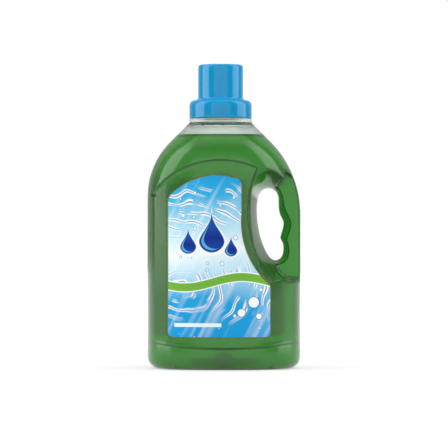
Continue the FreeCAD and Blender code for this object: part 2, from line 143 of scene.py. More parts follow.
def makeWorld():
    world = bpy.data.worlds.new("studio")
    scene.world = world
    world.use_nodes = True
    tree = world.node_tree
    tree.nodes.clear()
    direction = addNode(tree, "ShaderNodeTexCoord").outputs["Generated"]
    axes = addNode(tree, "ShaderNodeSeparateXYZ", inputs={0: direction})
    back = addNode(tree, "ShaderNodeMath", {"operation": "MULTIPLY"}, {0: axes.outputs["Y"], 1: -1.0})
    azimuth = addNode(tree, "ShaderNodeMath", {"operation": "ARCTAN2"},
                      {0: axes.outputs["X"], 1: back.outputs[0]})
    elevation = addNode(tree, "ShaderNodeMath", {"operation": "ARCSINE"}, {0: axes.outputs["Z"]})
    total = None
    edge, topEdge = math.radians(studio["edge"]), math.radians(studio["topEdge"])
    for softbox in studio["softboxes"]:
        turned = addNode(tree, "ShaderNodeMath", {"operation": "SUBTRACT"},
                         {0: azimuth.outputs[0], 1: math.radians(softbox["centre"])})
        wrapped = addNode(tree, "ShaderNodeMath", {"operation": "WRAP"},
                          {0: turned.outputs[0], 1: math.pi, 2: -math.pi})
        off = addNode(tree, "ShaderNodeMath", {"operation": "ABSOLUTE"}, {0: wrapped.outputs[0]})
        half = math.radians(softbox["half"])
        across = addNode(tree, "ShaderNodeMapRange", {"interpolation_type": "SMOOTHSTEP"},
                         {"Value": off.outputs[0], "From Min": half + edge, "From Max": half - edge})
        top = math.radians(softbox["top"])
        up = addNode(tree, "ShaderNodeMapRange", {"interpolation_type": "SMOOTHSTEP"},
                     {"Value": elevation.outputs[0], "From Min": top + topEdge, "From Max": top - topEdge,
                      "To Max": softbox["glow"]})
        panel = addNode(tree, "ShaderNodeMath", {"operation": "MULTIPLY"},
                        {0: across.outputs[0], 1: up.outputs[0]})
        total = panel if total is None else addNode(
            tree, "ShaderNodeMath", {"operation": "ADD"}, {0: total.outputs[0], 1: panel.outputs[0]})
    ceiling = math.radians(studio["overhead"]["bottom"])
    overhead = addNode(tree, "ShaderNodeMapRange", {"interpolation_type": "SMOOTHSTEP"},
                       {"Value": elevation.outputs[0], "From Min": ceiling - topEdge,
                        "From Max": ceiling + topEdge, "To Max": studio["overhead"]["glow"]})
    total = addNode(tree, "ShaderNodeMath", {"operation": "ADD"},
                    {0: total.outputs[0], 1: overhead.outputs[0]})
    rays = addNode(tree, "ShaderNodeLightPath")
    fill = addNode(tree, "ShaderNodeMapRange", inputs={
        "Value": rays.outputs["Is Diffuse Ray"], "To Min": studio["dark"], "To Max": studio["ambient"]})
    lit = addNode(tree, "ShaderNodeMath", {"operation": "ADD"},
                  {0: total.outputs[0], 1: fill.outputs[0]})
    clear = addNode(tree, "ShaderNodeMath", {"operation": "MAXIMUM"},
                    {0: rays.outputs["Is Camera Ray"], 1: rays.outputs["Is Transmission Ray"]})
    level = addNode(tree, "ShaderNodeMix", {"data_type": "FLOAT"},
                    {"Factor": clear.outputs[0], 2: lit.outputs[0], 3: 1.0})
    sky = addNode(tree, "ShaderNodeBackground", inputs={
        "Color": linearColour("#FFFFFF"), "Strength": level.outputs[0]})
    addNode(tree, "ShaderNodeOutputWorld", inputs={"Surface": sky.outputs[0]})
    scene.view_settings.view_transform = "Standard"


floor = {"size": 14.0, "grey": "#B0B0B0", "glow": 0.52}


def makeFloor():
    mesh = bpy.data.meshes.new("floor")
    h = floor["size"] / 2
    mesh.from_pydata([(-h, -h, 0), (h, -h, 0), (h, h, 0), (-h, h, 0)], [], [(0, 1, 2, 3)])
    material, tree = newMaterial("paintedFloor")
    # matt paint, with a glow that only what looks at it sees, so that it is white and keeps a shadow
    paint = addNode(tree, "ShaderNodeBsdfDiffuse", inputs={"Color": linearColour(floor["grey"])})
    rays = addNode(tree, "ShaderNodeLightPath")
    seen = addNode(tree, "ShaderNodeMath", {"operation": "MAXIMUM"},
                   {0: rays.outputs["Is Camera Ray"], 1: rays.outputs["Is Transmission Ray"]})
    seenOrShown = addNode(tree, "ShaderNodeMath", {"operation": "MAXIMUM"},
                          {0: seen.outputs[0], 1: rays.outputs["Is Glossy Ray"]})
    strength = addNode(tree, "ShaderNodeMath", {"operation": "MULTIPLY"},
                       {0: seenOrShown.outputs[0], 1: floor["glow"]})
    glow = addNode(tree, "ShaderNodeEmission", inputs={"Strength": strength.outputs[0]})
    both = addNode(tree, "ShaderNodeAddShader", inputs={0: paint.outputs[0], 1: glow.outputs[0]})
    addNode(tree, "ShaderNodeOutputMaterial", inputs={"Surface": both.outputs[0]})
    addObject("floor", mesh, material)


# Materials

clearWall = {
    "dry": [(0.0, "#E2EBE4"), (0.45, "#C9DACC"), (1.0, "#86A78A")],      # from flat to sharply bent, darker on the bend as painted shade
    # wet: lighter about 1.5 mm off a sharp bend as a painted highlight, darker on the bend as painted shade
    "wet": [(0.0, "#7ED171"), (0.28, "#90DC83"), (0.6, "#5B9E51"), (1.0, "#336A2D")],
    "wave": 38 * mm, "waveDepth": 1.2 * mm,
    # painted shade: a dark green band just under the liquid's level, where the meniscus turns the light
    "meniscusShade": "#336A2D", "meniscusShadeShare": 0.55,
    "meniscusFoot": 3.6 * mm, "meniscusTop": 1.2 * mm,     # both below the liquid's level
    "wetBelow": 0.6 * mm, "dryAbove": 0.4 * mm,            # where wet turns to dry, round that level
    "wetClearness": 0.84,
}


def clearPlastic():
    # clear blow-moulded bottle plastic: soft gloss and the slow waviness of a blown wall; faintly green
    # when dry, and where the liquid wets it, it takes on the liquid's green and scatters a little of it
    material, tree = newMaterial("clearBottlePlastic")
    place = addNode(tree, "ShaderNodeTexCoord").outputs["Object"]
    wave = addNode(tree, "ShaderNodeTexNoise", inputs={
        "Vector": place, "Scale": 1 / clearWall["wave"], "Detail": 1.0})
    bump = addNode(tree, "ShaderNodeBump", inputs={
        "Height": wave.outputs[0], "Strength": 0.10, "Distance": clearWall["waveDepth"]})
    # where the wall bends sharply it is painted a darker green line, painted shade for the light the bend
    # turns away; on the wet wall a lighter painted highlight runs beside it
    bendShadeMask = addNode(tree, "ShaderNodeAttribute", {"attribute_name": "bendShadeMask"})
    tint = addNode(tree, "ShaderNodeValToRGB", inputs={"Fac": bendShadeMask.outputs["Fac"]})
    rampStops(tint, clearWall["dry"])
    wetBendShade = addNode(tree, "ShaderNodeValToRGB", inputs={"Fac": bendShadeMask.outputs["Fac"]})
    rampStops(wetBendShade, clearWall["wet"])
    height = addNode(tree, "ShaderNodeSeparateXYZ", inputs={0: place}).outputs["Z"]
    level = body["fillLevel"]
    # painted shade: the wall is darkened in a band just below the liquid's level, standing in for the
    # meniscus's dark line
    meniscusShade = addNode(tree, "ShaderNodeMapRange", {"interpolation_type": "SMOOTHSTEP"}, {
        "Value": height, "From Min": level - clearWall["meniscusFoot"],
        "From Max": level - clearWall["meniscusTop"], "To Max": clearWall["meniscusShadeShare"]})
    wetWithPaintedShade = addNode(tree, "ShaderNodeMix", {"data_type": "RGBA"}, {
        "Factor": meniscusShade.outputs[0], 6: wetBendShade.outputs[0], 7: linearColour(clearWall["meniscusShade"])})
    dry = addNode(tree, "ShaderNodeMapRange", {"interpolation_type": "SMOOTHSTEP"}, {
        "Value": height, "From Min": level - clearWall["wetBelow"],
        "From Max": level + clearWall["dryAbove"]})
    colour = addNode(tree, "ShaderNodeMix", {"data_type": "RGBA"}, {
        "Factor": dry.outputs[0], 6: wetWithPaintedShade.outputs[2], 7: tint.outputs[0]})
    clearness = addNode(tree, "ShaderNodeMapRange", inputs={
        "Value": dry.outputs[0], "To Min": clearWall["wetClearness"], "To Max": 1.0})
    shader = addNode(tree, "ShaderNodeBsdfPrincipled", inputs={
        "Base Color": colour.outputs[2], "Roughness": 0.12, "IOR": 1.46,
        "Transmission Weight": clearness.outputs[0], "Normal": bump.outputs[0]})
    addNode(tree, "ShaderNodeOutputMaterial", inputs={"Surface": shader.outputs[0]})
    return material


dyedLiquid = {
    "cloud": 90 * mm, "dye": [(0.3, "#ADDFA4"), (0.7, "#B7E5AE")], "clearness": 0.95,
    "shade": "#2B5A3A", "shadeClearness": 0.3,             # over the pushed-up base
    "depth": "#9CD890", "density": 10.0,
}


def greenDetergent():
    # thick dyed liquid: see-through, with a dye on its surface too, so that thin parts stay green
    material, tree = newMaterial("greenDetergent")
    place = addNode(tree, "ShaderNodeTexCoord").outputs["Object"]
    cloud = addNode(tree, "ShaderNodeTexNoise", inputs={
        "Vector": place, "Scale": 1 / dyedLiquid["cloud"], "Detail": 2.0})
    tint = addNode(tree, "ShaderNodeValToRGB", inputs={"Fac": cloud.outputs[0]})
    rampStops(tint, dyedLiquid["dye"])
    # over the pushed-up base there is no light from behind, so it shows as a dark green shape
    shade = addNode(tree, "ShaderNodeAttribute", {"attribute_name": "pushUp"}).outputs["Fac"]
    colour = addNode(tree, "ShaderNodeMix", {"data_type": "RGBA"}, {
        "Factor": shade, 6: tint.outputs[0], 7: linearColour(dyedLiquid["shade"])})
    clearness = addNode(tree, "ShaderNodeMapRange", inputs={
        "Value": shade, "To Min": dyedLiquid["clearness"], "To Max": dyedLiquid["shadeClearness"]})
    shader = addNode(tree, "ShaderNodeBsdfPrincipled", inputs={
        "Base Color": colour.outputs[2], "Roughness": 0.05, "IOR": 1.36,
        "Transmission Weight": clearness.outputs[0], "Specular IOR Level": 0.05})
    depth = addNode(tree, "ShaderNodeVolumeAbsorption", inputs={
        "Color": linearColour(dyedLiquid["depth"]), "Density": dyedLiquid["density"]})
    addNode(tree, "ShaderNodeOutputMaterial", inputs={
        "Surface": shader.outputs[0], "Volume": depth.outputs[0]})
    return material


def capPlastic():
    # injection-moulded polypropylene: even dye, high gloss, a trace of flow in the skin
    material, tree = newMaterial("bluePolypropylene")
    place = addNode(tree, "ShaderNodeTexCoord").outputs["Object"]
    flow = addNode(tree, "ShaderNodeTexNoise", inputs={
        "Vector": place, "Scale": 1 / (16 * mm), "Detail": 2.0})
    dye = addNode(tree, "ShaderNodeValToRGB", inputs={"Fac": flow.outputs[0]})
    rampStops(dye, [(0.25, "#038BBF"), (0.75, "#0591C6")])
    skin = addNode(tree, "ShaderNodeTexNoise", inputs={
        "Vector": place, "Scale": 1 / (0.9 * mm), "Detail": 2.0})
    bump = addNode(tree, "ShaderNodeBump", inputs={
        "Height": skin.outputs[0], "Strength": 0.04, "Distance": 0.05 * mm})
    shader = addNode(tree, "ShaderNodeBsdfPrincipled", inputs={
        "Base Color": dye.outputs[0], "Roughness": 0.11, "IOR": 1.49, "Specular IOR Level": 0.44,
        "Normal": bump.outputs[0]})
    addNode(tree, "ShaderNodeOutputMaterial", inputs={"Surface": shader.outputs[0]})
    return material


# Body of the bottle: the outer skin, taken from the frame and softened as a blown wall is

body = {
    "voxel": 1.2 * mm,
    "smoothing": 6,
    "outerShare": 0.42,          # share of the remeshed faces that the outer side keeps
    "innerShare": 0.14,          # the wall's inner side needs fewer
    "wall": 1.1 * mm,
    "normalPoints": 10,          # points of the dense skin that a shading normal is the mean of
    "bendAngle": math.radians(25), "bendStep": 0.5 * mm, "bendReach": 2.1 * mm,
    "liquidDepth": 0.5 * mm,     # less than the wall, which the liquid enters, so no film of air shows
    "pushUpReach": 56 * mm,
    "seam": 282.4 * mm,          # height where the skin meets the neck
    "spare": 1.2 * mm,           # how far above the seam the frame's skin is first cut
    "smoothFactor": 0.5,
    "sameSide": 0.5,             # a mean normal counts only if it leans this much the point's own way
    "floorFacing": -0.25,        # a point of the push-up faces down at least this much
    "fillLevel": 270.8 * mm,
    "pushUp": (2.5 * mm, 26 * mm),   # heights between which the base is pushed up into the liquid
}


def bendTree(work):
    # points every bendStep along the frame's own sharp edges, for a quick nearest search
    points = []
    for edge in work.edges:
        if len(edge.link_faces) == 2 and edge.calc_face_angle(0.0) > body["bendAngle"]:
            a, b = edge.verts[0].co, edge.verts[1].co
            count = max(1, math.ceil((b - a).length / body["bendStep"]))
            points += [a.lerp(b, (k + 0.5) / count) for k in range(count)]
    tree = kdtree.KDTree(len(points))
    for index, point in enumerate(points):
        tree.insert(point, index)
    tree.balance()
    return tree


def markBends(mesh, tree):
    # attribute marking sharp bends: 1 on a bend, 0 from bendReach away from it; the wall's painted shade and
    # highlight follow it
    bendShadeMask = mesh.attributes.new("bendShadeMask", "FLOAT", "POINT")
    for vertex, value in zip(mesh.vertices, bendShadeMask.data):
        away = tree.find(vertex.co)[2] / body["bendReach"]
        value.value = max(0.0, 1.0 - away) if vertex.co.z < body["seam"] else 0.0


def denseSkin():
    # the frame's outer skin as an even, softened mesh, with its bends and its points to search
    work = bmesh.new()
    work.from_mesh(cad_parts["bottle"].data)
    bmesh.ops.remove_doubles(work, verts=work.verts, dist=weld)
    everything = work.verts[:] + work.edges[:] + work.faces[:]
    bmesh.ops.bisect_plane(work, geom=everything, dist=0, plane_co=(0, 0, body["seam"] + body["spare"]),
                           plane_no=(0, 0, 1), clear_outer=True)
    # the outer skin is the island that stands on the floor
    lowest = min(work.verts, key=lambda v: v.co.z)
    island = {lowest}
    front = [lowest]
    while front:
        vertex = front.pop()
        for edge in vertex.link_edges:
            other = edge.other_vert(vertex)
            if other not in island:
                island.add(other)
                front.append(other)
    bmesh.ops.delete(work, geom=[v for v in work.verts if v not in island], context="VERTS")
    bends = bendTree(work)
    bmesh.ops.holes_fill(work, edges=[e for e in work.edges if e.is_boundary])
    rough = bpy.data.meshes.new("roughSkin")
    work.to_mesh(rough)
    work.free()
    carrier = bpy.data.objects.new("roughSkin", rough)
    scene.collection.objects.link(carrier)
    remesh = carrier.modifiers.new("remesh", "REMESH")
    remesh.mode = "VOXEL"
    remesh.voxel_size = body["voxel"]
    smooth = carrier.modifiers.new("smooth", "SMOOTH")
    smooth.factor = body["smoothFactor"]
    smooth.iterations = body["smoothing"]
    skin = evaluatedMesh(carrier)
    bpy.data.objects.remove(carrier)
    points = kdtree.KDTree(len(skin.vertices))
    for vertex in skin.vertices:
        points.insert(vertex.co, vertex.index)
    points.balance()
    return {"mesh": skin, "bends": bends, "points": points}


def lighterSkin(dense, share):
    carrier = bpy.data.objects.new("lighterSkin", dense["mesh"])
    scene.collection.objects.link(carrier)
    carrier.modifiers.new("fewer", "DECIMATE").ratio = share
    skin = evaluatedMesh(carrier)
    bpy.data.objects.remove(carrier)
    work = bmesh.new()
    work.from_mesh(skin)
    everything = work.verts[:] + work.edges[:] + work.faces[:]
    bmesh.ops.bisect_plane(work, geom=everything, dist=0, plane_co=(0, 0, body["seam"]),
                           plane_no=(0, 0, 1), clear_outer=True)
    bmesh.ops.recalc_face_normals(work, faces=work.faces)
    work.normal_update()
    return work


def shadeAsDense(mesh, dense, top):
    # below top, each point takes the mean normal of the dense skin's nearest points,
    # so that the gloss runs smooth
    bodySide = dense["mesh"].vertices
    shading = []
    for vertex in mesh.vertices:
        own = vertex.normal.copy()
        if vertex.co.z < top:
            mean = Vector()
            for _, index, _ in dense["points"].find_n(vertex.co, body["normalPoints"]):
                mean += bodySide[index].normal
            if mean.length > 0.5 and abs(mean.normalized().dot(own)) > body["sameSide"]:
                own = mean.normalized() * (1.0 if mean.dot(own) > 0 else -1.0)
        shading.append(own)
    mesh.normals_split_custom_set_from_vertices(shading)


neck = {
    "axis": -4.0 * mm, "beadRadius": 36.2 * mm, "shoulderTop": 285.5 * mm, "beadTop": 290.0 * mm,
    "radius": 31.8 * mm, "bore": 30.0 * mm, "top": 307.0 * mm, "segments": 144,
    "joint": 0.6 * mm,           # how far above the seam the spun neck begins
    "flatRound": 0.5 * mm, "beadRound": 0.8 * mm, "rootRound": 0.6 * mm, "lipRound": 0.4 * mm,
    "innerStep": 0.6 * mm, "beadWall": 1.2 * mm, "beadFloor": 0.4 * mm,
}


def spun(work, profile, segments, axis):
    # rings of vertices round the upright axis, joined by faces; returns the rings
    rings = []
    for radius, z in profile:
        turn = [2 * math.pi * k / segments for k in range(segments)]
        rings.append([work.verts.new((axis + radius * math.cos(a), radius * math.sin(a), z)) for a in turn])
    for lower, upper in zip(rings, rings[1:]):
        for k in range(segments):
            n = (k + 1) % segments
            work.faces.new((lower[k], lower[n], upper[n], upper[k]))
    return rings


def rounded(corner, before, after, size, steps=5):
    # points of an arc that rounds a profile's corner, from the side of before to that of after
    corner, before, after = Vector(corner), Vector(before), Vector(after)
    a = corner + (before - corner).normalized() * size
    b = corner + (after - corner).normalized() * size
    points = []
    for k in range(steps + 1):
        t = k / steps
        points.append(tuple((1 - t) ** 2 * a + 2 * t * (1 - t) * corner + t ** 2 * b))
    return points


def roundedProfile(corners):
    # corners are (radius, z, size of its rounding)
    profile = []
    for k, (r, z, size) in enumerate(corners):
        if size and 0 < k < len(corners) - 1:
            profile += rounded((r, z), corners[k - 1][:2], corners[k + 1][:2], size)
        else:
            profile.append((r, z))
    return profile


def makeBottle(material, dense):
    work = lighterSkin(dense, body["outerShare"])
    wall = body["wall"]
    outerRim = [e for e in work.edges if e.is_boundary]
    # the inner skin, one wall inside
    inner = lighterSkin(dense, body["innerShare"])
    for vertex, place in [(v, v.co - v.normal * wall) for v in inner.verts]:
        vertex.co = place
    bmesh.ops.reverse_faces(inner, faces=inner.faces)
    lining = bpy.data.meshes.new("lining")
    inner.to_mesh(lining)
    inner.free()
    outerEdges = len(work.edges)
    work.from_mesh(lining)
    work.edges.ensure_lookup_table()
    # known fault: the order of the edges lets the outer rim in here too, so that the lining and the
    # neck's inside both meet the outer skin along the seam, and the wall is pinched there
    innerRim = [e for e in work.edges[outerEdges:] if e.is_boundary]
    cone = neck["beadRadius"] + neck["shoulderTop"]
    slant = wall * math.sqrt(2)
    start = body["seam"] + neck["joint"]
    corners = [
        (cone - start, start, 0), (neck["beadRadius"], neck["shoulderTop"], neck["flatRound"]),
        (neck["beadRadius"], neck["beadTop"], neck["beadRound"]),
        (neck["radius"], neck["beadTop"], neck["rootRound"]),
        (neck["radius"], neck["top"], neck["lipRound"]), (neck["bore"], neck["top"], neck["lipRound"]),
        (neck["bore"], neck["shoulderTop"] - neck["innerStep"], neck["beadRound"]),
        (neck["beadRadius"] - neck["beadWall"], neck["shoulderTop"] - neck["beadFloor"], neck["flatRound"]),
        (cone - slant - start, start, 0),
    ]
    rings = spun(work, roundedProfile(corners), neck["segments"], neck["axis"])

    def ringEdges(ring):
        own = set(ring)
        around = {edge for v in ring for edge in v.link_edges}
        return [e for e in around if e.verts[0] in own and e.verts[1] in own]

    bmesh.ops.bridge_loops(work, edges=outerRim + ringEdges(rings[0]))
    bmesh.ops.bridge_loops(work, edges=innerRim + ringEdges(rings[-1]))
    mesh = bpy.data.meshes.new("bottle_shell")
    work.to_mesh(mesh)
    work.free()
    markBends(mesh, dense["bends"])
    shell = addObject("bottle_shell", mesh, material)
    shadeAsDense(mesh, dense, body["seam"] - 1.0 * mm)
    return shell


def makeLiquid(material, dense):
    work = lighterSkin(dense, body["outerShare"])
    for vertex, place in [(v, v.co - v.normal * body["liquidDepth"]) for v in work.verts]:
        vertex.co = place
    everything = work.verts[:] + work.edges[:] + work.faces[:]
    cut = bmesh.ops.bisect_plane(work, geom=everything, dist=0, plane_co=(0, 0, body["fillLevel"]),
                                 plane_no=(0, 0, 1), clear_outer=True)
    rim = [e for e in cut["geom_cut"] if isinstance(e, bmesh.types.BMEdge)]
    bmesh.ops.holes_fill(work, edges=rim)
    bmesh.ops.triangulate(work, faces=[f for f in work.faces if len(f.verts) > 4])
    mesh = bpy.data.meshes.new("detergent")
    work.to_mesh(mesh)
    work.free()
    low, high = body["pushUp"]
    shade = mesh.attributes.new("pushUp", "FLOAT", "POINT")
    for vertex, value in zip(mesh.vertices, shade.data):
        value.value = 1.0 if low < vertex.co.z < high and vertex.normal.z < body["floorFacing"] and abs(
            vertex.co.x) < body["pushUpReach"] and abs(vertex.co.y) < body["pushUpReach"] else 0.0
    liquid = addObject("detergent", mesh, material)
    shadeAsDense(mesh, dense, body["fillLevel"] - 0.5 * mm)
    return liquid


# Cap: a skirt and a measuring cup in one moulding

cap = {
    "skirtRadius": 36.2 * mm, "skirtWall": 1.6 * mm, "skirtTop": 312.0 * mm, "skirtRound": 6.5 * mm,
    "ledgeFall": 0.8 * mm,
    "cupRadius": 26.0 * mm, "cupWall": 1.4 * mm, "cupRound": 3.5 * mm, "cupRim": 299.5 * mm,
    "lid": 1.6 * mm, "fillet": 3.5 * mm, "segments": 192,
    "rimRound": 0.5 * mm, "underRound": 2.5 * mm, "cupFloorRound": 2.0 * mm,
    "pole": 0.01 * mm, "merge": 0.005 * mm,     # a hole as wide as two pole radii stays at each pole
}


def makeCap(material):
    low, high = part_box("dosing_cap")
    inner = cap["skirtRadius"] - cap["skirtWall"]
    cupInner = cap["cupRadius"] - cap["cupWall"]
    under = cap["skirtTop"] - cap["lid"]
    corners = [
        (cap["pole"], high.z, 0), (cap["cupRadius"], high.z, cap["cupRound"]),
        (cap["cupRadius"], cap["skirtTop"], cap["fillet"]),
        (cap["skirtRadius"], cap["skirtTop"] - cap["ledgeFall"], cap["skirtRound"]),
        (cap["skirtRadius"], low.z, cap["rimRound"]), (inner, low.z, cap["rimRound"]),
        (inner, under, cap["underRound"]), (cap["cupRadius"], under, 0),
        (cap["cupRadius"], cap["cupRim"], cap["rimRound"]), (cupInner, cap["cupRim"], cap["rimRound"]),
        (cupInner, high.z - cap["lid"], cap["cupFloorRound"]), (cap["pole"], high.z - cap["lid"], 0),
    ]
    work = bmesh.new()
    spun(work, roundedProfile(corners), cap["segments"], neck["axis"])
    bmesh.ops.remove_doubles(work, verts=work.verts, dist=cap["merge"])
    bmesh.ops.recalc_face_normals(work, faces=work.faces)
    mesh = bpy.data.meshes.new("cap_moulding")
    work.to_mesh(mesh)
    work.free()
    return addObject("cap_moulding", mesh, material)


# Thread ridges on the neck and in the cap: one Geometry Nodes tree, a trapezoid along a spiral

thread = {
    "pitch": 5.0 * mm, "turns": 1.25, "foot": 2.4 * mm, "crest": 1.0 * mm, "bury": 0.3 * mm,
    "neckStart": 295.5 * mm, "neckDepth": 1.4 * mm, "capGap": 0.5 * mm, "stepsPerTurn": 96,
}


def ridgeTree():
    tree = bpy.data.node_groups.new("threadRidge", "GeometryNodeTree")
    for name, kind in (("Root Radius", "NodeSocketFloat"), ("Depth", "NodeSocketFloat"),
                       ("Start", "NodeSocketFloat"), ("Axis X", "NodeSocketFloat"),
                       ("Pitch", "NodeSocketFloat"), ("Turns", "NodeSocketFloat"),
                       ("Material", "NodeSocketMaterial")):
        tree.interface.new_socket(name, in_out="INPUT", socket_type=kind)
    tree.interface.new_socket("Geometry", in_out="OUTPUT", socket_type="NodeSocketGeometry")
    given = addNode(tree, "NodeGroupInput").outputs
    middle = addNode(tree, "ShaderNodeMath", {"operation": "MULTIPLY_ADD"},
                     {0: given["Depth"], 1: 0.5, 2: given["Root Radius"]})
    rise = addNode(tree, "ShaderNodeMath", {"operation": "MULTIPLY"},
                   {0: given["Pitch"], 1: given["Turns"]})
    spiral = addNode(tree, "GeometryNodeCurveSpiral", inputs={
        "Resolution": thread["stepsPerTurn"], "Rotations": given["Turns"],
        "Start Radius": middle.outputs[0], "End Radius": middle.outputs[0], "Height": rise.outputs[0],
        "Reverse": True})   # a right-hand thread, as the cap unscrews anticlockwise
    upright = addNode(tree, "GeometryNodeSetCurveNormal", {"mode": "Z_UP"}, {"Curve": spiral.outputs[0]})
    height = addNode(tree, "ShaderNodeMath", {"operation": "ABSOLUTE"}, {0: given["Depth"]})
    section = addNode(tree, "GeometryNodeCurvePrimitiveQuadrilateral", {"mode": "TRAPEZOID"}, {
        "Bottom Width": thread["foot"], "Top Width": thread["crest"], "Offset": 0.0,
        "Height": height.outputs[0]})
    # the section's crest points away from the wall that the ridge stands on
    side = addNode(tree, "ShaderNodeMath", {"operation": "SIGN"}, {0: given["Depth"]})
    quarter = addNode(tree, "ShaderNodeMath", {"operation": "MULTIPLY"},
                      {0: side.outputs[0], 1: -math.pi / 2})
    angles = addNode(tree, "ShaderNodeCombineXYZ", inputs={"Z": quarter.outputs[0]})
    turned = addNode(tree, "GeometryNodeTransform", inputs={
        "Geometry": section.outputs[0], "Rotation": angles.outputs[0]})
    ridge = addNode(tree, "GeometryNodeCurveToMesh", inputs={
        "Curve": upright.outputs[0], "Profile Curve": turned.outputs[0], "Fill Caps": True})
    seat = addNode(tree, "ShaderNodeCombineXYZ", inputs={"X": given["Axis X"], "Z": given["Start"]})
    placed = addNode(tree, "GeometryNodeTransform", inputs={
        "Geometry": ridge.outputs[0], "Translation": seat.outputs[0]})
    single = addNode(tree, "GeometryNodeRealizeInstances", inputs={0: placed.outputs[0]})
    painted = addNode(tree, "GeometryNodeSetMaterial", inputs={
        "Geometry": single.outputs[0], "Material": given["Material"]})
    addNode(tree, "NodeGroupOutput", inputs={"Geometry": painted.outputs[0]})
    return tree


def makeRidge(tree, name, root, depth, start, material):
    carrier = bpy.data.objects.new(name, bpy.data.meshes.new(name))
    scene.collection.objects.link(carrier)
    modifier = carrier.modifiers.new("ridge", "NODES")
    modifier.node_group = tree
    values = {"Root Radius": root, "Depth": depth, "Start": start, "Axis X": neck["axis"],
              "Pitch": thread["pitch"], "Turns": thread["turns"], "Material": material}
    for item in tree.interface.items_tree:
        if item.in_out == "INPUT":
            modifier[item.identifier] = values[item.name]
    mesh = evaluatedMesh(carrier)
    bpy.data.objects.remove(carrier)
    work = bmesh.new()
    work.from_mesh(mesh)
    bmesh.ops.recalc_face_normals(work, faces=work.faces)
    work.to_mesh(mesh)
    work.free()
    ridge = addObject(name, mesh, material)
    mesh.set_sharp_from_angle(angle=math.radians(30))
    return ridge


# Labels: the frame's own sheets, with a clear margin round the print

label = {
    "margin": 1.2 * mm, "bottom": 37 * mm, "top": 223.5 * mm,
    "drops": [(-14, 150, 15.0), (-41, 143, 9.5), (8, 138, 7.5)],   # x, z and radius of each, in mm
    "ribbon": {"height": 101, "swing": 6, "half": 4.6},             # the green wave, in mm
    "discs": [(34, 78, 6.0), (20, 66, 4.4), (40, 62, 3.2)],         # x, z and radius, in mm
    "rings": (-48, 96, 11.0),                                        # x and z of their middle, and spacing
    "bar": (-30, 52, 27, 2.2),                                      # x, z, half length and half height
    "white": "#FFFFFF", "softEdge": 0.2,                            # half an edge's softness, in mm
}

# the print's ground, streaks, ripples and bubbles, with sizes in mm
ground = {
    "inks": [(0.0, "#0597D8"), (0.25, "#16A3DE"), (0.43, "#BDE7F7"), (0.56, "#F2FBFE"),
             (0.70, "#A5DDF3"), (0.86, "#2FB0E2"), (1.0, "#0E9FDA")],
    "sway": 70, "swayReach": 46.0, "footLift": 14, "headLift": 26,
    "streakTilt": math.radians(28), "streak": (9.0, 60.0, 150.0), "streakShare": 0.32,
    "stir": 34, "stirReach": 26.0, "gaps": 21,
    "calmAt": (112, 206), "calmReach": (16, 34),       # heights without ripples, and how far they reach
    # ripples as inner and outer edge in spacings, ink and share
    "ripples": ((0.15, 0.24, "#FFFFFF", 0.85), (0.025, 0.075, "#15529F", 0.8)),
    "bubbleCell": 15, "largestBubble": 0.17, "bubbleRim": "#2A86C6", "bubble": "#F4FCFF",
}


